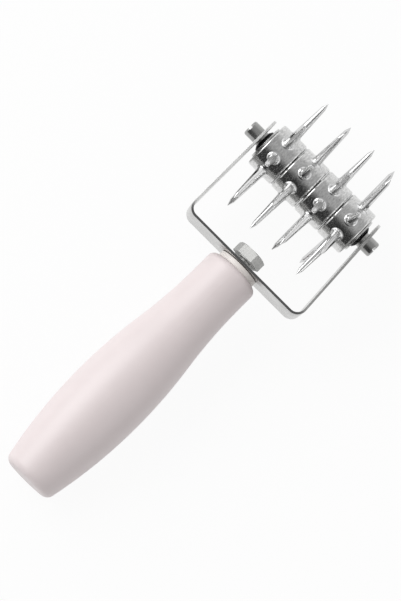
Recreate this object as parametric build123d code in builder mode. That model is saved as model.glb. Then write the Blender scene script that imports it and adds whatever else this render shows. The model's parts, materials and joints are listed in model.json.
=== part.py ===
from build123d import *
import math
import os

# Dough docker: a spiked roller in a bent steel yoke on a plastic handle, lying on a table.
# +X runs along the tool towards the roller, +Y along the roller to the user's left, +Z up.
# The table is z = 0, and the tool rests on its lowest spikes and the back of its handle.
# Millimetres throughout. Places along the tool are measured from the roller's axis.

# Handle
handle_length = 139.8
neck_radius = 14.3
neck_length = 11.7
belly_radius = 19.5
belly_from_shoulder = 84.9
butt_radius = 13.5
butt_round = 4.2
shoulder_round = 3.3

# Collar between handle and yoke
collar_radius = 10.95
collar_height = 3.2
collar_top_round = 0.6     # at the yoke
collar_edge_round = 0.25

# Yoke
strip_thickness = 1.2
strip_width = 25.0
yoke_reach = 51.1          # roller axis to the yoke's outer face at the handle
arm_beyond_axle = 10.0
arm_end_round = 9.0
left_bend_radius = 4.2     # inside the bend
right_bend_radius = 4.3
left_arm_place = 36.4      # middle of the arm's thickness, from the handle's axis
right_arm_foot = 36.7      # the same on the right, at the bend
right_arm_lean = 3.1       # degrees, inwards
bolt_hole_clearance = 0.2

# Bolt and insert
bolt_radius = 3.0
head_across_flats = 14.1
head_height = 5.3
head_turn = 16.8           # degrees, from a corner on top
head_stand_off = 2.4       # between the strip and the head's washer face
washer_face_radius = 6.5
washer_face_height = 0.4
head_chamfer_slope = 30.0  # degrees
bolt_in_handle = 22.0
bolt_end_chamfer = 0.7
thread_clearance = 0.05
drill_overrun = 4.0
insert_radius = 5.0
insert_length = 18.0
insert_edge_chamfer = 0.6
insert_fit = 0.02

# Roller
disc_count = 4
disc_radius = 12.6
disc_width = 15.15
disc_gap = 0.3
disc_edge_round = 1.05
roller_offset = 1.45       # middle of the discs, to the left of the handle's axis
washer_radius = 9.2
washer_thickness = 1.0
washer_edge_round = 0.35
tube_radius = 6.0
tube_wall = 0.8
tube_fit = 0.03
bush_length = 12.0
bush_edge_chamfer = 0.3

# Spikes
spikes_per_disc = 8
spike_reach = 34.7         # roller axis to spike tip
spike_turn = 23.2          # degrees from straight up towards the roller's front, odd discs
disc_stagger = 20.8        # degrees that every second disc is turned back
spike_foot_radius = 2.3
spike_neck_radius = 1.25
spike_point_length = 3.1
spike_tip_radius = 0.15
spike_root_round = 1.4     # the foot flares out into the disc
spike_flange_margin = 0.2
spike_flange_thickness = 0.4
spike_stem_radius = 1.9
spike_stem_length = 4.0
spike_fit = 0.02
# Spikes that have been knocked out of line: disc, spike, degrees to the left
bent_spikes = [(3, 6, 2.5), (4, 1, -2.0), (4, 3, 3.6), (4, 6, 6.0), (4, 8, -2.5)]

# Pivot pins and spacer rings
pin_radius = 4.1
left_pin_end = 43.5        # from the handle's axis
right_pin_end = 40.1
pin_in_bush = 11.0
pin_end_round = 1.05
slot_width = 1.9
slot_depth = 1.2
left_slot_turn = 8.0       # degrees, from upright towards the handle
right_slot_turn = -1.5
arm_hole_clearance = 0.05
running_clearance = 0.05
ring_radius = 6.0
ring_length = 1.45
ring_bevel_length = 1.0
ring_bevel_depth = 1.6
ring_gap = 0.15

overrun = 1.0

# Places along the tool, worked out from the sizes above
shoulder_place = yoke_reach + collar_height
butt_place = shoulder_place + handle_length
flare_place = shoulder_place + neck_length
belly_place = shoulder_place + belly_from_shoulder
inner_face_place = yoke_reach - strip_thickness
spike_pitch = 360 / spikes_per_disc

# Places along the roller, positive to the left
disc_pitch = disc_width + disc_gap
stack_half = (disc_count * disc_pitch - disc_gap) / 2
left_stack_end = roller_offset + stack_half
right_stack_end = roller_offset - stack_half
left_washer_face = left_stack_end + washer_thickness
right_washer_face = right_stack_end - washer_thickness

# The back of the handle, from belly to butt, is one arc
tail_length = butt_place - belly_place
tail_drop = belly_radius - butt_radius
tail_radius = (tail_length**2 + tail_drop**2) / (2 * tail_drop)


def turn_of_disc(number):
    """Angle of a disc's first spike: every second disc is turned back."""
    return spike_turn - disc_stagger * ((number - 1) % 2)


def lowest_spike_offset(number):
    """Angle between a disc's lowest spike and straight down, from -half to +half of the pitch."""
    return (turn_of_disc(number) + spike_pitch / 2) % spike_pitch - spike_pitch / 2


def table_slope(offset):
    """Slope in degrees of a table that touches this spike's tip and the arc on the handle's back."""
    run = spike_reach * math.sin(math.radians(offset)) - belly_place
    rise = tail_radius - belly_radius + spike_reach * math.cos(math.radians(offset))
    sight = math.degrees(math.atan2(rise, run))
    return 180 - sight - math.degrees(math.asin(tail_radius / math.hypot(run, rise)))


# How the tool lies: the steepest slope is the one where no spike goes through the table
foot_offsets = [lowest_spike_offset(number) for number in range(1, disc_count + 1)]
lie_angle = max(table_slope(offset) for offset in foot_offsets)
lie_cos = math.cos(math.radians(lie_angle))
lie_sin = math.sin(math.radians(lie_angle))
axle_height = max(
    spike_reach * math.cos(math.radians(offset - lie_angle)) for offset in foot_offsets
)

# The origin is under the middle of the whole tool
all_turns = [turn_of_disc(n) + spike_pitch * k for n in (1, 2) for k in range(spikes_per_disc)]
front_reach = max(spike_reach * math.sin(math.radians(turn - lie_angle)) for turn in all_turns)
butt_flat_radius = butt_radius - butt_round
back_reach = (butt_place - butt_round) * lie_cos + butt_flat_radius * lie_sin + butt_round
axle_x = (back_reach - front_reach) / 2
axle_y = (right_pin_end - left_pin_end) / 2

# Main planes: lengthwise, upright along the tool, and square to the handle
tool = Plane(
    origin=(axle_x, axle_y, axle_height),
    x_dir=(lie_cos, 0, lie_sin),
    z_dir=(-lie_sin, 0, lie_cos),
)
side = Plane(origin=tool.origin, x_dir=tool.x_dir, z_dir=-tool.y_dir)
cross = Plane(origin=tool.origin, x_dir=tool.y_dir, z_dir=tool.x_dir)
long_axis = Axis(tool.origin, tool.x_dir)
roller_axis = Axis(tool.origin, tool.y_dir)


# Handle: straight neck, then two arcs swell to the belly and one tapers to the butt
flare_middle = (-(flare_place + belly_place) / 2, (neck_radius + belly_radius) / 2)
with BuildPart() as handle:
    with BuildSketch(side) as handle_half:
        with BuildLine():
            middle = Line((-butt_place, 0), (-shoulder_place, 0))
            shoulder = Line(middle @ 1, (-shoulder_place, neck_radius))
            neck = Line(shoulder @ 1, (-flare_place, neck_radius))
            flare = TangentArc(neck @ 1, flare_middle, tangent=(-1, 0))
            belly = TangentArc(flare @ 1, (-belly_place, belly_radius), tangent=flare % 1)
            tail = TangentArc(belly @ 1, (-butt_place, butt_radius), tangent=(-1, 0))
            Line(tail @ 1, middle @ 0)
        make_face()
        shoulder_corner = (-shoulder_place, neck_radius)
        fillet(handle_half.vertices().sort_by_distance(shoulder_corner)[0], shoulder_round)
        butt_corner = (-butt_place, butt_radius)
        fillet(handle_half.vertices().sort_by_distance(butt_corner)[0], butt_round)
    revolve(axis=long_axis)
    with BuildSketch(cross.offset(-shoulder_place)):
        Circle(insert_radius + insert_fit)
    extrude(amount=-insert_length, mode=Mode.SUBTRACT)
    with BuildSketch(cross.offset(-shoulder_place)):
        Circle(bolt_radius + bolt_hole_clearance)
    extrude(amount=-(bolt_in_handle + drill_overrun), mode=Mode.SUBTRACT)

# Collar: plain ring, its bore clears the bolt
with BuildPart() as neck_collar:
    with BuildSketch(cross.offset(-shoulder_place)):
        Circle(collar_radius)
        Circle(bolt_radius + bolt_hole_clearance, mode=Mode.SUBTRACT)
    extrude(amount=collar_height)
    rims = neck_collar.edges().filter_by(GeomType.CIRCLE).group_by(lambda rim: rim.radius)[-1]
    bottom_rim, top_rim = rims.sort_by(long_axis)
    fillet(top_rim, collar_top_round)
    fillet(bottom_rim, collar_edge_round)

# Insert: threaded sleeve, flush with the handle's shoulder
with BuildPart() as threaded_insert:
    with BuildSketch(cross.offset(-shoulder_place)):
        Circle(insert_radius)
        Circle(bolt_radius + thread_clearance, mode=Mode.SUBTRACT)
    extrude(amount=-insert_length)
    rims = threaded_insert.edges().filter_by(GeomType.CIRCLE).group_by(lambda rim: rim.radius)[-1]
    chamfer(rims, insert_edge_chamfer)

# Bolt: hexagon head, cone-chamfered on top, with a raised washer face under it
head_place = inner_face_place - head_stand_off
head_corner_radius = head_across_flats / math.sqrt(3)
head_chamfer_drop = (head_corner_radius - head_across_flats / 2) * math.tan(
    math.radians(head_chamfer_slope)
)
bolt_end_place = shoulder_place + bolt_in_handle
with BuildPart() as hex_bolt:
    with BuildSketch(cross.offset(-head_place + washer_face_height)):
        RegularPolygon(head_corner_radius, 6, rotation=90 + head_turn)
    extrude(amount=head_height)
    with BuildSketch(side):
        with BuildLine():
            head_top = -head_place + washer_face_height + head_height
            Polyline(
                (-head_place, 0),
                (head_top, 0),
                (head_top, head_across_flats / 2),
                (head_top - head_chamfer_drop, head_corner_radius),
                (-head_place, head_corner_radius),
                close=True,
            )
        make_face()
    revolve(axis=long_axis, mode=Mode.INTERSECT)
    with BuildSketch(cross.offset(-head_place)):
        Circle(washer_face_radius)
    extrude(amount=washer_face_height)
    with BuildSketch(cross.offset(-bolt_end_place)):
        Circle(bolt_radius)
    extrude(amount=bolt_end_place - head_place)
    bolt_tip = hex_bolt.edges().filter_by(GeomType.CIRCLE).sort_by(long_axis)[0]
    chamfer(bolt_tip, bolt_end_chamfer)

# Yoke: one strip, bent square on the left and a little past square on the right
lean_rise = math.tan(math.radians(right_arm_lean))
strip_middle = yoke_reach - strip_thickness / 2
right_arm_tip = right_arm_foot - lean_rise * (strip_middle + arm_beyond_axle)
bend_radii = [radius + strip_thickness / 2 for radius in (left_bend_radius, right_bend_radius)]
with BuildPart() as yoke:
    with BuildSketch(tool):
        with BuildLine():
            FilletPolyline(
                (arm_beyond_axle, left_arm_place),
                (-strip_middle, left_arm_place),
                (-strip_middle, -right_arm_foot),
                (arm_beyond_axle, -right_arm_tip),
                radius=bend_radii,
            )
        trace(line_width=strip_thickness)
    extrude(amount=strip_width / 2, both=True)
    arm_end_edges = yoke.edges().filter_by(
        lambda edge: (edge.center() - tool.origin).dot(tool.x_dir) > arm_beyond_axle / 2
        and edge.length < 2 * strip_thickness
    )
    fillet(arm_end_edges, arm_end_round)
    with BuildSketch(side):
        Circle(pin_radius + arm_hole_clearance)
    extrude(amount=left_arm_place + right_arm_foot, both=True, mode=Mode.SUBTRACT)
    with BuildSketch(cross.offset(-yoke_reach)):
        Circle(bolt_radius + bolt_hole_clearance)
    extrude(amount=strip_thickness, mode=Mode.SUBTRACT)


def ring(inner_radius, outer_radius, start, end):
    """Plain ring round the roller's axis, between two places along it."""
    with BuildPart() as plain_ring:
        with BuildSketch(side.offset(-start)):
            Circle(outer_radius)
            Circle(inner_radius, mode=Mode.SUBTRACT)
        extrude(amount=start - end)
    return plain_ring.part


# Pivot pins: round, slotted outer end, inner end turning in the roller's bush
def pivot_pin(outer_end, inner_end, slot_turn):
    """Pin from its slotted outer end to its inner end, both places along the roller."""
    with BuildPart() as pin:
        with BuildSketch(side.offset(-outer_end)):
            Circle(pin_radius)
        extrude(amount=outer_end - inner_end)
        ends = pin.edges().filter_by(GeomType.CIRCLE).sort_by(roller_axis)
        fillet(ends[-1] if outer_end > inner_end else ends[0], pin_end_round)
        slot_length = 2 * (pin_radius + overrun)
        with BuildSketch(side.offset(-outer_end)):
            Rectangle(slot_width, slot_length, rotation=slot_turn)
        slot_reach = math.copysign(slot_depth, outer_end - inner_end)
        extrude(amount=slot_reach, mode=Mode.SUBTRACT)
    return pin.part


pivot_pin_left = pivot_pin(left_pin_end, left_washer_face - pin_in_bush, left_slot_turn)
pivot_pin_right = pivot_pin(-right_pin_end, right_washer_face + pin_in_bush, right_slot_turn)


# Spacer rings: bevelled on the side of the arm
def spacer_ring(washer_face, outwards):
    """Ring next to a washer's outer face; outwards is 1 on the left and -1 on the right."""
    inner_face = washer_face + outwards * ring_gap
    outer_face = inner_face + outwards * ring_length
    bevel_start = outer_face - outwards * ring_bevel_length
    with BuildPart() as spacer:
        with BuildSketch(tool):
            with BuildLine():
                Polyline(
                    (pin_radius + running_clearance, inner_face),
                    (ring_radius, inner_face),
                    (ring_radius, bevel_start),
                    (ring_radius - ring_bevel_depth, outer_face),
                    (pin_radius + running_clearance, outer_face),
                    close=True,
                )
            make_face()
        revolve(axis=roller_axis)
    return spacer.part


spacer_ring_left = spacer_ring(left_washer_face, 1)
spacer_ring_right = spacer_ring(right_washer_face, -1)


# End washers: round-edged flanges at the ends of the disc stack
def end_washer(inner_face, outer_face):
    """Flange between two places along the roller."""
    with BuildPart() as washer:
        add(ring(tube_radius + tube_fit, washer_radius, inner_face, outer_face))
        rims = washer.edges().filter_by(GeomType.CIRCLE).group_by(lambda rim: rim.radius)[-1]
        fillet(rims, washer_edge_round)
    return washer.part


end_washer_left = end_washer(left_stack_end, left_washer_face)
end_washer_right = end_washer(right_stack_end, right_washer_face)

# Hub tube and the two bushes in its ends
bush_radius = tube_radius - tube_wall
hub_tube = ring(bush_radius, tube_radius, right_washer_face, left_washer_face)


def bush(outer_face, inner_face):
    """Plain bearing with chamfered outside edges, between two places along the roller."""
    with BuildPart() as bearing:
        bore = pin_radius + running_clearance
        add(ring(bore, bush_radius - tube_fit, outer_face, inner_face))
        rims = bearing.edges().filter_by(GeomType.CIRCLE).group_by(lambda rim: rim.radius)[-1]
        chamfer(rims, bush_edge_chamfer)
    return bearing.part


bush_left = bush(left_washer_face, left_washer_face - bush_length)
bush_right = bush(right_washer_face, right_washer_face + bush_length)


# Discs: each with eight radial holes and a flat seat round each
def disc_middle(number):
    """Place of a disc's middle along the roller; disc 1 is at the left end."""
    return left_stack_end - disc_width / 2 - (number - 1) * disc_pitch


# A spike's flange is round, and lies in the disc down to a flat seat under its thinnest rim
spike_flange_radius = spike_foot_radius + spike_root_round + spike_flange_margin
spike_seat_place = math.sqrt(disc_radius**2 - spike_flange_radius**2) - spike_flange_thickness
spike_seat_depth = disc_radius - spike_seat_place
spike_length = spike_reach - spike_seat_place
lean_of_spike = {(number, spike): lean for number, spike, lean in bent_spikes}


def spike_lean(number, spike):
    """Degrees that a spike leans to the left."""
    return lean_of_spike.get((number, spike), 0)


def spike_place(number, spike):
    """Plane in the middle of a disc: its normal runs out through a spike's foot, Y to the left."""
    turn = math.radians(turn_of_disc(number) + (spike - 1) * spike_pitch)
    outwards = tool.z_dir * math.cos(turn) + tool.x_dir * math.sin(turn)
    middle = tool.origin + tool.y_dir * disc_middle(number)
    return Plane(origin=middle, x_dir=tool.y_dir.cross(outwards), z_dir=outwards)


def spike_seat(place, lean):
    """Plane of the flat that a spike's flange sits on; its normal runs out along the spike."""
    tilt = math.radians(lean)
    return Plane(
        origin=place.origin + place.z_dir * spike_seat_place,
        x_dir=place.x_dir,
        z_dir=place.z_dir * math.cos(tilt) + place.y_dir * math.sin(tilt),
    )


def disc(number):
    """Ring with rounded rims, drilled for its spikes."""
    middle_place = disc_middle(number)
    with BuildPart() as body:
        half = disc_width / 2
        add(ring(tube_radius + tube_fit, disc_radius, middle_place - half, middle_place + half))
        rims = body.edges().filter_by(GeomType.CIRCLE).group_by(lambda rim: rim.radius)[-1]
        fillet(rims, disc_edge_round)
        for spike in range(1, spikes_per_disc + 1):
            seat = spike_seat(spike_place(number, spike), spike_lean(number, spike))
            with BuildSketch(seat):
                Circle(spike_stem_radius + spike_fit)
            extrude(amount=-spike_stem_length, mode=Mode.SUBTRACT)
            with BuildSketch(seat):
                Circle(spike_flange_radius + spike_fit)
            extrude(amount=spike_seat_depth + overrun, mode=Mode.SUBTRACT)
    return body.part


# Spikes: pressed-in stem, flange finished flush with the disc, flared foot, taper, short point
def upright_spike(lean):
    """A spike on the top of a disc round the Y axis: its foot flares into the disc's round."""
    seat = spike_seat(Plane.XY, lean)
    with BuildPart() as spike_body:
        with BuildSketch(Plane(origin=(0, 0, 0), x_dir=(0, 0, -1), z_dir=(0, 1, 0))):
            Circle(disc_radius)
        extrude(amount=disc_width / 2 - disc_edge_round, both=True)
        with BuildSketch(Plane(origin=seat.origin, x_dir=seat.z_dir, z_dir=seat.y_dir)):
            with BuildLine():
                Polyline(
                    (0, 0),
                    (spike_length, 0),
                    (spike_length, spike_tip_radius),
                    (spike_length - spike_point_length, spike_neck_radius),
                    (spike_seat_depth, spike_foot_radius),
                    (0, spike_foot_radius),
                    close=True,
                )
            make_face()
        revolve(axis=Axis(seat.origin, seat.z_dir))
        fillet(spike_body.edges(Select.NEW), spike_root_round)
        with BuildSketch(seat):
            Circle(spike_flange_radius)
        extrude(amount=spike_length + overrun, mode=Mode.INTERSECT)
        with BuildSketch(seat):
            Circle(spike_stem_radius)
        extrude(amount=-spike_stem_length)
    return spike_body.part


upright_spikes = {lean: upright_spike(lean) for lean in {0, *lean_of_spike.values()}}


def spike_part(number, spike):
    """One spike of a disc, stood in its place."""
    with BuildPart() as placed_spike:
        with Locations(spike_place(number, spike)):
            add(upright_spikes[spike_lean(number, spike)])
    return placed_spike.part


# Every piece under the name that its node takes
pieces = {
    "handle": handle.part,
    "neck_collar": neck_collar.part,
    "threaded_insert": threaded_insert.part,
    "hex_bolt": hex_bolt.part,
    "yoke": yoke.part,
    "pivot_pin_left": pivot_pin_left,
    "pivot_pin_right": pivot_pin_right,
    "spacer_ring_left": spacer_ring_left,
    "spacer_ring_right": spacer_ring_right,
    "end_washer_left": end_washer_left,
    "end_washer_right": end_washer_right,
    "hub_tube": hub_tube,
    "bush_left": bush_left,
    "bush_right": bush_right,
}
for number in range(1, disc_count + 1):
    pieces[f"disc_{number}"] = disc(number)
    for spike in range(1, spikes_per_disc + 1):
        pieces[f"disc_{number}_spike_{spike}"] = spike_part(number, spike)

os.makedirs("parts", exist_ok=True)
for name, piece in pieces.items():
    piece.label = name
    export_step(piece, f"parts/{name}.step")

print(f"lie angle {lie_angle:.3f} degrees, roller axis at {axle_x:.3f}, {axle_y:.3f}, {axle_height:.3f}")
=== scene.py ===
import json
import math

import bpy
from mathutils import Matrix, Vector

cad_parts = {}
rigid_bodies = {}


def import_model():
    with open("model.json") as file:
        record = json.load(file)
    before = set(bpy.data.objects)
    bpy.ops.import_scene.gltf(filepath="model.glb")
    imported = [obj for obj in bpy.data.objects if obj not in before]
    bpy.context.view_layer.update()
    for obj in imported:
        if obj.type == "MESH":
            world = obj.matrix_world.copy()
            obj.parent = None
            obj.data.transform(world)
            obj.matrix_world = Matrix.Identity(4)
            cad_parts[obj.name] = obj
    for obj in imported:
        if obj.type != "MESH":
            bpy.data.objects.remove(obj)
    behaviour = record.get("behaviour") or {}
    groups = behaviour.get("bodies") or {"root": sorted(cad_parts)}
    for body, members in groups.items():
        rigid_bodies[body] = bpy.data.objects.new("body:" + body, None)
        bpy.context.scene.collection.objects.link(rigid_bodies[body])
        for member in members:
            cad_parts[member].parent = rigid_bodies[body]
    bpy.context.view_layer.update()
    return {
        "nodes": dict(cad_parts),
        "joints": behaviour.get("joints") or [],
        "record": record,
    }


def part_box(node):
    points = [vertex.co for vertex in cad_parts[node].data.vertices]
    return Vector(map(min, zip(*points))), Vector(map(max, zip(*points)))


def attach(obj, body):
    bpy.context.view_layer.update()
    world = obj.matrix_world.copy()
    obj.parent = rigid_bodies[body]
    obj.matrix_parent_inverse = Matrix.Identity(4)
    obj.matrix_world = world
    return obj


for extra in list(bpy.data.objects):
    bpy.data.objects.remove(extra)
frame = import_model()
nodes = frame["nodes"]


# Handle: one piece of moulded polypropylene, off-white with a rosy tint. Its mould was
# spark-eroded, which leaves a fine even grain and a soft satin shine; the colour wanders a
# little with the pigment.
MM = 0.001
NOISE_RANGE = {"From Min": 0.3, "From Max": 0.7}  # a noise pattern hardly leaves it


def hex_colour(code):
    """An sRGB hex colour as the linear RGBA that the nodes take."""
    channels = [int(code[i : i + 2], 16) / 255 for i in (0, 2, 4)]
    linear = [c / 12.92 if c <= 0.04045 else ((c + 0.055) / 1.055) ** 2.4 for c in channels]
    return (*linear, 1.0)


def add_node(tree, kind, inputs=None, **settings):
    """Adds a node: settings are its properties, inputs are values or sockets to link."""
    node = tree.nodes.new(kind)
    for name, value in settings.items():
        setattr(node, name, value)
    for name, value in (inputs or {}).items():
        if isinstance(value, bpy.types.NodeSocket):
            tree.links.new(value, node.inputs[name])
        else:
            node.inputs[name].default_value = value
    return node


def start_material(name):
    """A new material, its node tree, and the Object coordinates that its patterns follow."""
    material = bpy.data.materials.new(name)
    material.use_nodes = True
    tree = material.node_tree
    tree.nodes.clear()
    return material, tree, add_node(tree, "ShaderNodeTexCoord").outputs["Object"]


def finish_material(material, surface, *names):
    """Ends a material's tree in its shader, and puts the material on CAD nodes, by name."""
    add_node(material.node_tree, "ShaderNodeOutputMaterial", {"Surface": surface.outputs[0]})
    for name in names:
        nodes[name].data.materials.clear()
        nodes[name].data.materials.append(material)


handle_material, tree, place = start_material("moulded_polypropylene_rosy_white")
cloud_size = 12 * MM
clouds = add_node(
    tree,
    "ShaderNodeTexNoise",
    {"Vector": place, "Scale": 1 / cloud_size, "Detail": 3.0, "Roughness": 0.6},
).outputs[0]
tint = add_node(
    tree,
    "ShaderNodeMix",
    {0: clouds, 6: hex_colour("dfd4d4"), 7: hex_colour("e6dbdb")},
    data_type="RGBA",
).outputs[2]
# Mould grain: really 0.1 mm, drawn at 0.4 mm so that it shows
grain_size, grain_depth = 0.4 * MM, 0.05 * MM
grain = add_node(
    tree,
    "ShaderNodeTexNoise",
    {"Vector": place, "Scale": 1 / grain_size, "Detail": 2.0, "Roughness": 0.5},
).outputs[0]
shine = add_node(
    tree,
    "ShaderNodeMapRange",
    {"Value": clouds, **NOISE_RANGE, "To Min": 0.38, "To Max": 0.46},
).outputs[0]
relief = add_node(
    tree, "ShaderNodeBump", {"Height": grain, "Strength": 0.12, "Distance": grain_depth}
).outputs[0]
surface = add_node(
    tree,
    "ShaderNodeBsdfPrincipled",
    {
        "Base Color": tint,
        "Roughness": shine,
        "IOR": 1.49,
        "Specular IOR Level": 0.7,
        "Normal": relief,
    },
)
finish_material(handle_material, surface, "handle")


# Collar: a ring turned from natural nylon rod, creamier than the handle. The cutter leaves faint
# rings round it, and its faces are a little glossier than a moulded skin. Next to the yoke it is
# painted dark brown-grey: painted shade where it meets the strip.
collar_material, tree, place = start_material("turned_nylon_cream")
# The tool's own directions: it points away from its butt face, and its roller turns on the axle
axle = Vector(frame["joints"][0]["pos_m"])
along = -Vector(frame["record"]["mounts"][0]["axis"]).normalized()
lie_angle = math.atan2(along.z, along.x)
# A Mapping node with these inputs starts at the axle, with its x along the tool
tool_turn = {"Location": axle, "Rotation": (0, -lie_angle, 0)}
tool_place = add_node(
    tree, "ShaderNodeMapping", {"Vector": place, **tool_turn}, vector_type="TEXTURE"
).outputs[0]
# Turning marks, one every 0.3 mm along the tool and long round it
mark_pitch, mark_length = 0.3 * MM, 50 * MM
stretched = add_node(
    tree,
    "ShaderNodeMapping",
    {"Vector": tool_place, "Scale": (1 / mark_pitch, 1 / mark_length, 1 / mark_length)},
).outputs[0]
marks = add_node(
    tree, "ShaderNodeTexNoise", {"Vector": stretched, "Scale": 1.0, "Detail": 2.0}
).outputs[0]
tint = add_node(
    tree,
    "ShaderNodeMix",
    {0: marks, 6: hex_colour("e9e3df"), 7: hex_colour("f3eeea")},
    data_type="RGBA",
).outputs[2]
# Painted shade at the joint: the yoke's outer face is 51.1 mm behind the axle, and the collar is
# painted dark in the last 0.5 mm before it
strip_outer_face = -51.1 * MM
painted_joint_shade = add_node(tree, "ShaderNodeSeparateXYZ", {0: tool_place}).outputs["X"]
painted_joint_shade = add_node(
    tree,
    "ShaderNodeMapRange",
    {
        "Value": painted_joint_shade,
        "From Min": strip_outer_face - 0.5 * MM,
        "From Max": strip_outer_face - 0.2 * MM,
    },
).outputs[0]
# Painted shade: the collar's colour turns dark brown-grey next to the strip
tint = add_node(
    tree, "ShaderNodeMix", {0: painted_joint_shade, 6: tint, 7: hex_colour("4f4845")}, data_type="RGBA"
).outputs[2]
relief = add_node(
    tree, "ShaderNodeBump", {"Height": marks, "Strength": 0.2, "Distance": 0.04 * MM}
).outputs[0]
surface = add_node(
    tree,
    "ShaderNodeBsdfPrincipled",
    {"Base Color": tint, "Roughness": 0.38, "IOR": 1.53, "Normal": relief},
)
finish_material(collar_material, surface, "neck_collar")


# Insert and bushes: a brass sleeve moulded into the handle's neck, where the bolt screws in, and
# the roller's two plain bearings. They are turned from bar and never seen, so their yellow metal
# has only its turning marks.
insert_material, tree, place = start_material("turned_brass")
mark_pitch, marks_per_metre = 0.25 * MM, 30
stretched = add_node(
    tree,
    "ShaderNodeMapping",
    {"Vector": place, "Scale": (1 / mark_pitch, 1 / mark_pitch, marks_per_metre)},
).outputs[0]
marks = add_node(
    tree, "ShaderNodeTexNoise", {"Vector": stretched, "Scale": 0.4, "Detail": 3.0}
).outputs[0]
tint = add_node(
    tree,
    "ShaderNodeMix",
    {0: marks, 6: hex_colour("b08d46"), 7: hex_colour("d3b166")},
    data_type="RGBA",
).outputs[2]
relief = add_node(
    tree, "ShaderNodeBump", {"Height": marks, "Strength": 0.2, "Distance": 0.03 * MM}
).outputs[0]
surface = add_node(
    tree,
    "ShaderNodeBsdfPrincipled",
    {"Base Color": tint, "Metallic": 1.0, "Roughness": 0.32, "Normal": relief},
)
finish_material(insert_material, surface, "threaded_insert", "bush_left", "bush_right")


# Yoke: one strip of cold-rolled steel, 1.2 mm thick, bent into a U and nickel plated. Its faces
# keep fine rolling lines that run along the strip, which stretch what it mirrors crosswise. Its
# sheared edges are dull; their colour is painted reflection, dark round the base and light on the
# arms.
yoke_material, tree, place = start_material("rolled_strip_steel_nickel")
across = Vector((0, 1, 0))
upward = along.cross(across)
tool_place = add_node(
    tree, "ShaderNodeMapping", {"Vector": place, **tool_turn}, vector_type="TEXTURE"
).outputs[0]
# Rolling lines: really 0.05 mm apart, drawn at 0.35 mm across the strip's width
line_pitch, line_length = 0.35 * MM, 40 * MM
stretched = add_node(
    tree,
    "ShaderNodeMapping",
    {"Vector": tool_place, "Scale": (1 / line_length, 1 / line_length, 1 / line_pitch)},
).outputs[0]
lines = add_node(
    tree,
    "ShaderNodeTexNoise",
    {"Vector": stretched, "Scale": 1.0, "Detail": 4.0, "Roughness": 0.6},
).outputs[0]
# Haze from handling, in patches
haze_size = 9 * MM
haze = add_node(
    tree, "ShaderNodeTexNoise", {"Vector": place, "Scale": 1 / haze_size, "Detail": 4.0}
).outputs[0]
plate = add_node(
    tree,
    "ShaderNodeMix",
    {0: lines, 6: hex_colour("c4c4c3"), 7: hex_colour("d6d6d5")},
    data_type="RGBA",
).outputs[2]
# The sheared edges face up or down in the tool's directions
facing = add_node(tree, "ShaderNodeNewGeometry").outputs["Normal"]
turned_up = add_node(
    tree, "ShaderNodeVectorMath", {0: facing, 1: upward}, operation="DOT_PRODUCT"
).outputs["Value"]
turned_up = add_node(tree, "ShaderNodeMath", {0: turned_up}, operation="ABSOLUTE").outputs[0]
sheared = add_node(
    tree, "ShaderNodeMapRange", {"Value": turned_up, "From Min": 0.6, "From Max": 0.8}
).outputs[0]
# The arms start at the bends: from there outwards the edges' painted reflection turns light
bend_start, bend_end = -49.5 * MM, -44 * MM
tool_parts = add_node(tree, "ShaderNodeSeparateXYZ", {0: tool_place}).outputs
in_arms = add_node(
    tree,
    "ShaderNodeMapRange",
    {"Value": tool_parts["X"], "From Min": bend_start, "From Max": bend_end},
).outputs[0]
# Painted reflection: the left arm's edge is painted lighter than the right one's
middle_zone = 10 * MM
on_left = add_node(
    tree,
    "ShaderNodeMapRange",
    {"Value": tool_parts["Y"], "From Min": -middle_zone, "From Max": middle_zone},
).outputs[0]
# Painted reflection: light grey on the right arm's edge, near white on the left one's
painted_arm_edge_light = add_node(
    tree,
    "ShaderNodeMix",
    {0: on_left, 6: hex_colour("a8a8a7"), 7: hex_colour("dededd")},
    data_type="RGBA",
).outputs[2]
# Painted reflection: the base's edge is painted dark grey
edge = add_node(
    tree, "ShaderNodeMix", {0: in_arms, 6: hex_colour("787878"), 7: painted_arm_edge_light}, data_type="RGBA"
).outputs[2]
tint = add_node(
    tree, "ShaderNodeMix", {0: sheared, 6: plate, 7: edge}, data_type="RGBA"
).outputs[2]
shine = add_node(
    tree,
    "ShaderNodeMapRange",
    {"Value": haze, **NOISE_RANGE, "To Min": 0.2, "To Max": 0.32},
).outputs[0]
edge_dulling = 0.1
shine = add_node(
    tree, "ShaderNodeMath", {0: sheared, 1: edge_dulling, 2: shine}, operation="MULTIPLY_ADD"
).outputs[0]
relief = add_node(
    tree, "ShaderNodeBump", {"Height": lines, "Strength": 0.25, "Distance": 0.02 * MM}
).outputs[0]
# The lines run across the tool in the base and along it in the arms
line_way = add_node(
    tree, "ShaderNodeMix", {0: in_arms, 4: across, 5: along}, data_type="VECTOR"
).outputs[1]
cross_way = add_node(
    tree, "ShaderNodeVectorMath", {0: facing, 1: line_way}, operation="CROSS_PRODUCT"
).outputs[0]
surface = add_node(
    tree,
    "ShaderNodeBsdfPrincipled",
    {
        "Base Color": tint,
        "Metallic": 1.0,
        "Roughness": shine,
        "Anisotropic": 0.8,
        "Tangent": cross_way,
        "Normal": relief,
    },
)
finish_material(yoke_material, surface, "yoke")


def tumble_edges(name, width):
    """Rounds a CAD node's sharp edges, as tumbling does; its loose triangles are joined first."""
    joined = nodes[name].modifiers.new("joined", "WELD")
    joined.merge_threshold = 0.002 * MM
    tumbled = nodes[name].modifiers.new("tumbled_edges", "BEVEL")
    tumbled.width = width
    tumbled.segments = 2
    tumbled.limit_method = "ANGLE"
    tumbled.angle_limit = math.radians(50)
    tumbled.harden_normals = True


tumble_edges("yoke", 0.1 * MM)


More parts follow.
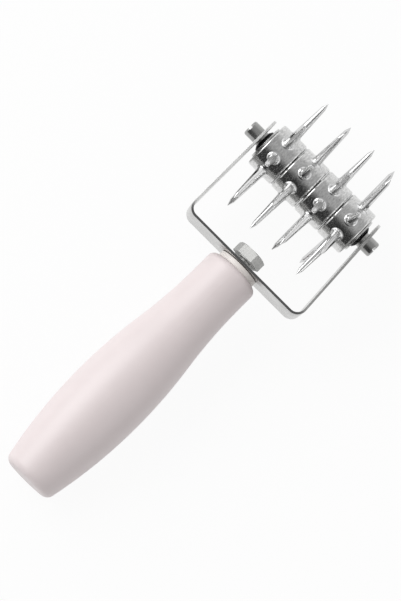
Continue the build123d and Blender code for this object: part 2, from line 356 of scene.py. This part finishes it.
# Bolt: a cold-headed hexagon bolt, zinc plated. The head's flats carry faint upright draw marks,
# and the plating is dull enough to blur what it mirrors. Tumbling has rounded the head's corners.
bolt_material, tree, place = start_material("zinc_plated_steel")
tool_place = add_node(
    tree, "ShaderNodeMapping", {"Vector": place, **tool_turn}, vector_type="TEXTURE"
).outputs[0]
# Draw marks along the bolt: really 0.1 mm apart round the head, drawn at 0.7 mm (0.4 / 0.6)
mark_pitch, marks_per_metre = 0.4 * MM, 120
stretched = add_node(
    tree,
    "ShaderNodeMapping",
    {"Vector": tool_place, "Scale": (marks_per_metre, 1 / mark_pitch, 1 / mark_pitch)},
).outputs[0]
marks = add_node(
    tree,
    "ShaderNodeTexNoise",
    {"Vector": stretched, "Scale": 0.6, "Detail": 4.0, "Roughness": 0.65},
).outputs[0]
tint = add_node(
    tree,
    "ShaderNodeMix",
    {0: marks, 6: hex_colour("a2a2a1"), 7: hex_colour("dededc")},
    data_type="RGBA",
).outputs[2]
shine = add_node(
    tree,
    "ShaderNodeMapRange",
    {"Value": marks, **NOISE_RANGE, "To Min": 0.44, "To Max": 0.58},
).outputs[0]
relief = add_node(
    tree, "ShaderNodeBump", {"Height": marks, "Strength": 0.5, "Distance": 0.06 * MM}
).outputs[0]
surface = add_node(
    tree,
    "ShaderNodeBsdfPrincipled",
    {"Base Color": tint, "Metallic": 1.0, "Roughness": shine, "Normal": relief},
)
finish_material(bolt_material, surface, "hex_bolt")
tumble_edges("hex_bolt", 0.35 * MM)


# Thread: the bolt is threaded up to its head, and two turns of it show between head and strip.
# It is rolled, so its crests are round; a ridge follows a helix round the shank.
thread_tree = bpy.data.node_groups.new("rolled_thread", "GeometryNodeTree")
thread_tree.interface.new_socket("Geometry", in_out="OUTPUT", socket_type="NodeSocketGeometry")
socket_ids = {}
for socket_name, socket_kind, socket_value in (
    ("Turns", "NodeSocketFloat", 2.6),
    ("Pitch", "NodeSocketFloat", 0.8 * MM),
    ("Shank Radius", "NodeSocketFloat", 3.0 * MM),
    ("Ridge Radius", "NodeSocketFloat", 0.22 * MM),
    ("Plating", "NodeSocketMaterial", bolt_material),
):
    socket = thread_tree.interface.new_socket(
        socket_name, in_out="INPUT", socket_type=socket_kind
    )
    socket.default_value = socket_value
    socket_ids[socket_name] = socket.identifier
sizes = add_node(thread_tree, "NodeGroupInput").outputs
rise = add_node(
    thread_tree,
    "ShaderNodeMath",
    {0: sizes["Turns"], 1: sizes["Pitch"]},
    operation="MULTIPLY",
).outputs[0]
helix = add_node(
    thread_tree,
    "GeometryNodeCurveSpiral",
    {
        "Resolution": 48,
        "Rotations": sizes["Turns"],
        "Start Radius": sizes["Shank Radius"],
        "End Radius": sizes["Shank Radius"],
        "Height": rise,
    },
).outputs[0]
crest = add_node(
    thread_tree,
    "GeometryNodeCurvePrimitiveCircle",
    {"Resolution": 10, "Radius": sizes["Ridge Radius"]},
).outputs[0]
ridge = add_node(
    thread_tree,
    "GeometryNodeCurveToMesh",
    {"Curve": helix, "Profile Curve": crest, "Fill Caps": True},
).outputs[0]
ridge = add_node(thread_tree, "GeometryNodeRealizeInstances", {"Geometry": ridge}).outputs[0]
ridge = add_node(
    thread_tree, "GeometryNodeSetMaterial", {"Geometry": ridge, "Material": sizes["Plating"]}
).outputs[0]
add_node(thread_tree, "NodeGroupOutput", {"Geometry": ridge})


def add_object(name, data):
    """A new object in the scene that holds this mesh, lamp or camera."""
    made = bpy.data.objects.new(name, data)
    bpy.context.scene.collection.objects.link(made)
    return made


carrier = add_object("thread_carrier", bpy.data.meshes.new("thread_carrier"))
maker = carrier.modifiers.new("thread", "NODES")
maker.node_group = thread_tree
maker[socket_ids["Plating"]] = bolt_material
bpy.context.view_layer.update()
thread_mesh = bpy.data.meshes.new_from_object(
    carrier.evaluated_get(bpy.context.evaluated_depsgraph_get())
)
bpy.data.objects.remove(carrier)
for face in thread_mesh.polygons:
    face.use_smooth = True
# The helix rises along its own z, which is turned to run along the tool. It starts just clear of
# the strip's inner face.
strip_thickness, clearance = 1.2 * MM, 0.15 * MM
thread_start = strip_outer_face + strip_thickness + clearance
turn = Matrix((across, upward, along)).transposed().to_4x4()
turn.translation = axle + along * thread_start
thread_mesh.transform(turn)
bolt_thread = add_object("bolt_thread", thread_mesh)
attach(bolt_thread, "handle_and_yoke")


# Pivot pins: turned from bright steel bar, with a screwdriver slot sawn across the outer end.
# The lathe leaves fine rings along them, and the metal is darker than the plated parts.
pin_material, tree, place = start_material("turned_bright_steel")
mark_pitch, marks_per_metre = 0.3 * MM, 30
stretched = add_node(
    tree,
    "ShaderNodeMapping",
    {"Vector": place, "Scale": (marks_per_metre, 1 / mark_pitch, marks_per_metre)},
).outputs[0]
marks = add_node(
    tree,
    "ShaderNodeTexNoise",
    {"Vector": stretched, "Scale": 1.0, "Detail": 3.0, "Roughness": 0.6},
).outputs[0]
tint = add_node(
    tree,
    "ShaderNodeMix",
    {0: marks, 6: hex_colour("949493"), 7: hex_colour("b6b6b5")},
    data_type="RGBA",
).outputs[2]
relief = add_node(
    tree, "ShaderNodeBump", {"Height": marks, "Strength": 0.3, "Distance": 0.03 * MM}
).outputs[0]
surface = add_node(
    tree,
    "ShaderNodeBsdfPrincipled",
    {"Base Color": tint, "Metallic": 1.0, "Roughness": 0.24, "Normal": relief},
)
finish_material(pin_material, surface, "pivot_pin_left", "pivot_pin_right")


# Spacer rings: moulded black acetal, bevelled on the arm's side. It is nearly black, with a
# slight waxy shine and pale dust that lies in the fine grain.
ring_material, tree, place = start_material("moulded_acetal_black")
speck_size = 0.5 * MM
specks = add_node(
    tree,
    "ShaderNodeTexNoise",
    {"Vector": place, "Scale": 1 / speck_size, "Detail": 3.0, "Roughness": 0.6},
).outputs[0]
dust = add_node(
    tree, "ShaderNodeMapRange", {"Value": specks, "From Min": 0.5, "From Max": 0.8}
).outputs[0]
tint = add_node(
    tree,
    "ShaderNodeMix",
    {0: dust, 6: hex_colour("161618"), 7: hex_colour("3a3a3c")},
    data_type="RGBA",
).outputs[2]
relief = add_node(
    tree, "ShaderNodeBump", {"Height": specks, "Strength": 0.2, "Distance": 0.03 * MM}
).outputs[0]
surface = add_node(
    tree,
    "ShaderNodeBsdfPrincipled",
    {"Base Color": tint, "Roughness": 0.42, "IOR": 1.48, "Normal": relief},
)
finish_material(ring_material, surface, "spacer_ring_left", "spacer_ring_right")


# Discs and end washers: turned steel, polished and nickel plated. The plating mirrors its
# surroundings, broken up by a slight orange peel and faint turning marks. The side faces that
# meet inside the stack are drawn near black, dull and not metallic: painted shade for the gaps
# between the discs.
disc_material, tree, place = start_material("polished_nickel_plate")
# Orange peel, dimples of about 0.6 mm along the roller and 1.5 mm round it
peel_width, peel_length = 0.6 * MM, 1.5 * MM
squeeze = peel_width / peel_length
stretched = add_node(
    tree, "ShaderNodeMapping", {"Vector": place, "Scale": (squeeze, 1, squeeze)}
).outputs[0]
peel = add_node(
    tree,
    "ShaderNodeTexNoise",
    {"Vector": stretched, "Scale": 1 / peel_width, "Detail": 3.5, "Roughness": 0.6},
).outputs[0]
# Turning marks under the plate, 0.5 mm apart along the roller
mark_pitch, mark_length = 0.5 * MM, 50 * MM
stretched = add_node(
    tree,
    "ShaderNodeMapping",
    {"Vector": place, "Scale": (1 / mark_length, 1 / mark_pitch, 1 / mark_length)},
).outputs[0]
marks = add_node(
    tree, "ShaderNodeTexNoise", {"Vector": stretched, "Scale": 1.0, "Detail": 2.0}
).outputs[0]
# The plating is brighter where the peel is high, and along some of the marks
patches = add_node(
    tree,
    "ShaderNodeMapRange",
    {"Value": peel, **NOISE_RANGE, "To Min": -0.25, "To Max": 0.75},
).outputs[0]
patches = add_node(
    tree, "ShaderNodeMath", {0: marks, 1: 0.5, 2: patches}, operation="MULTIPLY_ADD"
).outputs[0]
tint = add_node(
    tree,
    "ShaderNodeMix",
    {0: patches, 6: hex_colour("bababa"), 7: hex_colour("e8e8e7")},
    data_type="RGBA",
).outputs[2]
# Side faces: those that face along the roller, well inside the stack's ends
facing = add_node(tree, "ShaderNodeNewGeometry").outputs["Normal"]
facing = add_node(tree, "ShaderNodeSeparateXYZ", {0: facing}).outputs["Y"]
facing = add_node(tree, "ShaderNodeMath", {0: facing}, operation="ABSOLUTE").outputs[0]
side_face = add_node(
    tree, "ShaderNodeMapRange", {"Value": facing, "From Min": 0.9, "From Max": 0.97}
).outputs[0]
stack_right, stack_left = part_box("disc_4")[0][1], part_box("disc_1")[1][1]
stack_middle = (stack_left + stack_right) / 2
end_margin = 3 * MM
inside_reach = stack_left - stack_middle - end_margin
from_middle = add_node(tree, "ShaderNodeSeparateXYZ", {0: place}).outputs["Y"]
from_middle = add_node(
    tree, "ShaderNodeMath", {0: from_middle, 1: stack_middle}, operation="SUBTRACT"
).outputs[0]
from_middle = add_node(
    tree, "ShaderNodeMath", {0: from_middle}, operation="ABSOLUTE"
).outputs[0]
in_stack = add_node(
    tree, "ShaderNodeMath", {0: from_middle, 1: inside_reach}, operation="LESS_THAN"
).outputs[0]
painted_gap_shade = add_node(
    tree, "ShaderNodeMath", {0: side_face, 1: in_stack}, operation="MULTIPLY"
).outputs[0]
plated = add_node(
    tree, "ShaderNodeMath", {0: 1.0, 1: painted_gap_shade}, operation="SUBTRACT"
).outputs[0]
# Painted shade: the side faces inside the stack are painted near black
tint = add_node(
    tree, "ShaderNodeMix", {0: painted_gap_shade, 6: tint, 7: hex_colour("201f1e")}, data_type="RGBA"
).outputs[2]
shine = add_node(
    tree,
    "ShaderNodeMapRange",
    {"Value": peel, **NOISE_RANGE, "To Min": 0.08, "To Max": 0.15},
).outputs[0]
gap_face_roughness = 0.95
shine = add_node(
    tree, "ShaderNodeMix", {0: painted_gap_shade, 2: shine, 3: gap_face_roughness}, data_type="FLOAT"
).outputs[0]
dimples = add_node(
    tree, "ShaderNodeBump", {"Height": peel, "Strength": 0.62, "Distance": 0.12 * MM}
).outputs[0]
relief = add_node(
    tree,
    "ShaderNodeBump",
    {"Height": marks, "Strength": 0.12, "Distance": 0.02 * MM, "Normal": dimples},
).outputs[0]
surface = add_node(
    tree,
    "ShaderNodeBsdfPrincipled",
    {"Base Color": tint, "Metallic": plated, "Roughness": shine, "Normal": relief},
)
disc_names = [f"disc_{number}" for number in range(1, 5)]
finish_material(disc_material, surface, *disc_names, "end_washer_left", "end_washer_right")


# Hub tube: drawn steel tube that the discs are threaded on. It hardly shows, so it is plain
# grey drawn metal with marks along its length.
tube_material, tree, place = start_material("drawn_steel_tube")
mark_pitch, mark_length = 0.4 * MM, 40 * MM
stretched = add_node(
    tree,
    "ShaderNodeMapping",
    {"Vector": place, "Scale": (1 / mark_pitch, 1 / mark_length, 1 / mark_pitch)},
).outputs[0]
marks = add_node(
    tree, "ShaderNodeTexNoise", {"Vector": stretched, "Scale": 1.0, "Detail": 3.0}
).outputs[0]
tint = add_node(
    tree,
    "ShaderNodeMix",
    {0: marks, 6: hex_colour("8e8d8b"), 7: hex_colour("b3b2b0")},
    data_type="RGBA",
).outputs[2]
surface = add_node(
    tree,
    "ShaderNodeBsdfPrincipled",
    {"Base Color": tint, "Metallic": 1.0, "Roughness": 0.35},
)
finish_material(tube_material, surface, "hub_tube")


# Spikes: 32 cold-formed steel pins, polished in a barrel and chromed. Barrel polishing leaves
# them very shiny, with a faint waviness along each cone that breaks up its mirror lines.
spike_material, tree, place = start_material("barrel_polished_chrome")
wave_size = 1.5 * MM
waves = add_node(
    tree,
    "ShaderNodeTexNoise",
    {"Vector": place, "Scale": 1 / wave_size, "Detail": 3.0, "Roughness": 0.6},
).outputs[0]
tint = add_node(
    tree,
    "ShaderNodeMix",
    {0: waves, 6: hex_colour("cfcfcf"), 7: hex_colour("dedede")},
    data_type="RGBA",
).outputs[2]
relief = add_node(
    tree, "ShaderNodeBump", {"Height": waves, "Strength": 0.6, "Distance": 0.12 * MM}
).outputs[0]
surface = add_node(
    tree,
    "ShaderNodeBsdfPrincipled",
    {"Base Color": tint, "Metallic": 1.0, "Roughness": 0.07, "Normal": relief},
)
spike_names = [f"{disc}_spike_{number}" for disc in disc_names for number in range(1, 9)]
finish_material(spike_material, surface, *spike_names)


# Floor: a plain pale sheet of card under the tool. The camera and the metal see it near white,
# and it keeps the tool's soft shadow.
floor_material, tree, place = start_material("pale_card")
fibre_size = 3 * MM
fibres = add_node(
    tree, "ShaderNodeTexNoise", {"Vector": place, "Scale": 1 / fibre_size, "Detail": 2.0}
).outputs[0]
tint = add_node(
    tree,
    "ShaderNodeMix",
    {0: fibres, 6: hex_colour("efefef"), 7: hex_colour("f2f2f2")},
    data_type="RGBA",
).outputs[2]
lit = add_node(tree, "ShaderNodeBsdfDiffuse", {"Color": tint}).outputs[0]
glow = add_node(
    tree, "ShaderNodeEmission", {"Color": (1, 1, 1, 1), "Strength": 1.0}
).outputs[0]
white_share = 0.93
seen_card = add_node(tree, "ShaderNodeMixShader", {0: white_share, 1: lit, 2: glow}).outputs[0]
rays = add_node(tree, "ShaderNodeLightPath").outputs
seen = rays["Is Camera Ray"]
for kind in ("Is Glossy Ray", "Is Transmission Ray"):
    seen = add_node(
        tree, "ShaderNodeMath", {0: seen, 1: rays[kind]}, operation="MAXIMUM"
    ).outputs[0]
card = add_node(tree, "ShaderNodeMixShader", {0: seen, 1: lit, 2: seen_card})
finish_material(floor_material, card)
floor_mesh = bpy.data.meshes.new("floor")
reach = 3.0
floor_mesh.from_pydata(
    [(-reach, -reach, 0), (reach, -reach, 0), (reach, reach, 0), (-reach, reach, 0)],
    [],
    [(0, 1, 2, 3)],
)
floor_mesh.materials.append(floor_material)
floor = add_object("floor", floor_mesh)


# Studio: the room round the tool, which the metal mirrors and the camera sees as white. It is
# dark low behind the handle, has a grey ceiling, and is bright in front of the roller and at both
# sides. A large soft lamp hangs on the left and a small weak one on the right.
def set_stops(ramp, stops):
    """Sets a colour ramp to greys: (position, brightness), the first at 0 and the last at 1."""
    elements = ramp.color_ramp.elements
    for position, brightness in stops:
        if position == 0.0:
            stop = elements[0]
        elif position == 1.0:
            stop = elements[-1]
        else:
            stop = elements.new(position)
        stop.color = (brightness, brightness, brightness, 1.0)


world = bpy.data.worlds.new("studio")
bpy.context.scene.world = world
world.use_nodes = True
tree = world.node_tree
tree.nodes.clear()
direction = add_node(tree, "ShaderNodeTexCoord").outputs["Generated"]
parts = add_node(tree, "ShaderNodeSeparateXYZ", {0: direction}).outputs
# Angle from straight up, positive towards the roller's front, as a share of a whole turn
lengthwise = add_node(
    tree, "ShaderNodeMath", {0: parts["X"], 1: parts["Z"]}, operation="ARCTAN2"
).outputs[0]
lengthwise = add_node(
    tree,
    "ShaderNodeMath",
    {0: lengthwise, 1: 1 / (2 * math.pi), 2: 0.5},
    operation="MULTIPLY_ADD",
).outputs[0]
# What stands about in the room, patches of about 3 degrees, makes the edges wander
clutter = add_node(
    tree, "ShaderNodeTexNoise", {"Vector": direction, "Scale": 18.0, "Detail": 3.0}
).outputs[0]
wander_reach = 9 / 360  # of a turn
wander = add_node(
    tree,
    "ShaderNodeMapRange",
    {
        "Value": clutter,
        "From Min": 0.2,
        "From Max": 0.8,
        "To Min": -wander_reach,
        "To Max": wander_reach,
    },
).outputs[0]
lengthwise = add_node(
    tree, "ShaderNodeMath", {0: lengthwise, 1: wander}, operation="ADD"
).outputs[0]
room = add_node(tree, "ShaderNodeValToRGB", {0: lengthwise})
room_stops = (
    (-180, 1.0),
    (-95, 1.0),
    (-91, 0.045),
    (-42, 0.038),
    (-31, 0.12),
    (-22, 0.27),
    (-12, 0.4),
    (0, 0.49),
    (46, 0.53),
    (62, 0.85),
    (150, 0.85),
    (180, 1.0),
)
set_stops(room, [(degrees / 360 + 0.5, brightness) for degrees, brightness in room_stops])
# The side walls by their height: dark behind the table, then a bright strip, dimmer above it
side_strip = add_node(tree, "ShaderNodeValToRGB", {0: parts["Z"]})
set_stops(
    side_strip, ((0.0, 0.2), (0.06, 0.24), (0.18, 1.0), (0.68, 1.0), (0.86, 0.5), (1.0, 0.47))
)
# The left wall throws more light on the tool than the right one; the metal mirrors both as pale,
# but for the right wall's far end behind the handle. A direction shows nothing of the walls up to
# the first of these shares sideways, and only walls from the second on.
room_end, wall_start = 0.12, 0.3
lit_wall = add_node(
    tree,
    "ShaderNodeMapRange",
    {
        "Value": parts["Y"],
        "From Min": -wall_start,
        "From Max": wall_start,
        "To Min": 0.64,
        "To Max": 1.04,
    },
).outputs[0]
right_wall = add_node(
    tree,
    "ShaderNodeMapRange",
    {"Value": parts["X"], "From Min": -0.6, "From Max": -0.1, "To Min": 0.3, "To Max": 1.05},
).outputs[0]
left_wall = 1.15
on_left = add_node(
    tree,
    "ShaderNodeMapRange",
    {"Value": parts["Y"], "From Min": -wall_start, "From Max": wall_start},
).outputs[0]
shown_wall = add_node(
    tree, "ShaderNodeMix", {0: on_left, 2: right_wall, 3: left_wall}, data_type="FLOAT"
).outputs[0]
rays = add_node(tree, "ShaderNodeLightPath").outputs
wall = add_node(
    tree,
    "ShaderNodeMix",
    {0: rays["Is Glossy Ray"], 2: lit_wall, 3: shown_wall},
    data_type="FLOAT",
).outputs[0]
wall = add_node(
    tree, "ShaderNodeMath", {0: side_strip.outputs[0], 1: wall}, operation="MULTIPLY"
).outputs[0]
sideways = add_node(tree, "ShaderNodeMath", {0: parts["Y"]}, operation="ABSOLUTE").outputs[0]
sideways = add_node(
    tree,
    "ShaderNodeMapRange",
    {"Value": sideways, "From Min": room_end, "From Max": wall_start},
    interpolation_type="SMOOTHSTEP",
).outputs[0]
level = add_node(
    tree, "ShaderNodeMix", {0: sideways, 2: room.outputs[0], 3: wall}, data_type="FLOAT"
).outputs[0]
level = add_node(
    tree, "ShaderNodeMath", {0: level, 1: rays["Is Camera Ray"]}, operation="MAXIMUM"
).outputs[0]
sky = add_node(tree, "ShaderNodeBackground", {"Color": (1, 1, 1, 1), "Strength": level})
add_node(tree, "ShaderNodeOutputWorld", {"Surface": sky.outputs[0]})

lit_point = Vector((0.03, 0.0, 0.03))
overhead = Vector((-0.27, 0, 0.96))
lamp_distance = 1.2
for lamp_name, degrees_left, lamp_size, lamp_power in (
    ("key_lamp", 49, 0.9, 7.1),
    ("fill_lamp", -56, 0.5, 0.5),
):
    lamp = bpy.data.lights.new(lamp_name, "AREA")
    lamp.size = lamp_size
    lamp.energy = lamp_power
    lamp_object = add_object(lamp_name, lamp)
    swing = math.radians(degrees_left)
    from_tool = overhead * math.cos(swing) + across * math.sin(swing)
    lamp_object.location = lit_point + from_tool * lamp_distance
    lamp_object.rotation_mode = "QUATERNION"
    lamp_object.rotation_quaternion = (-from_tool).to_track_quat("-Z", "Y")
    lamp_object.visible_camera = False


# Camera: far back over the tool with a long lens, rolled so that the handle runs down left
looked_at = Vector((4.37, -0.11, 27.06)) * MM
camera_distance = 1.8
tilt = math.radians(13.55)
backwards = Vector((-math.sin(tilt), 0, math.cos(tilt)))
flat_along = Vector((math.cos(tilt), 0, math.sin(tilt)))
image_right = (flat_along - across).normalized()
image_up = (flat_along + across).normalized()
camera_data = bpy.data.cameras.new("camera")
camera_data.sensor_width = 36.0
camera_data.lens = 227.7
camera_data.clip_start = 0.1
camera_data.clip_end = 20.0
camera = add_object("camera", camera_data)
stand = Matrix((image_right, image_up, backwards)).transposed().to_4x4()
stand.translation = looked_at + backwards * camera_distance
camera.matrix_world = stand
bpy.context.scene.camera = camera
bpy.context.scene.view_settings.view_transform = "Standard"
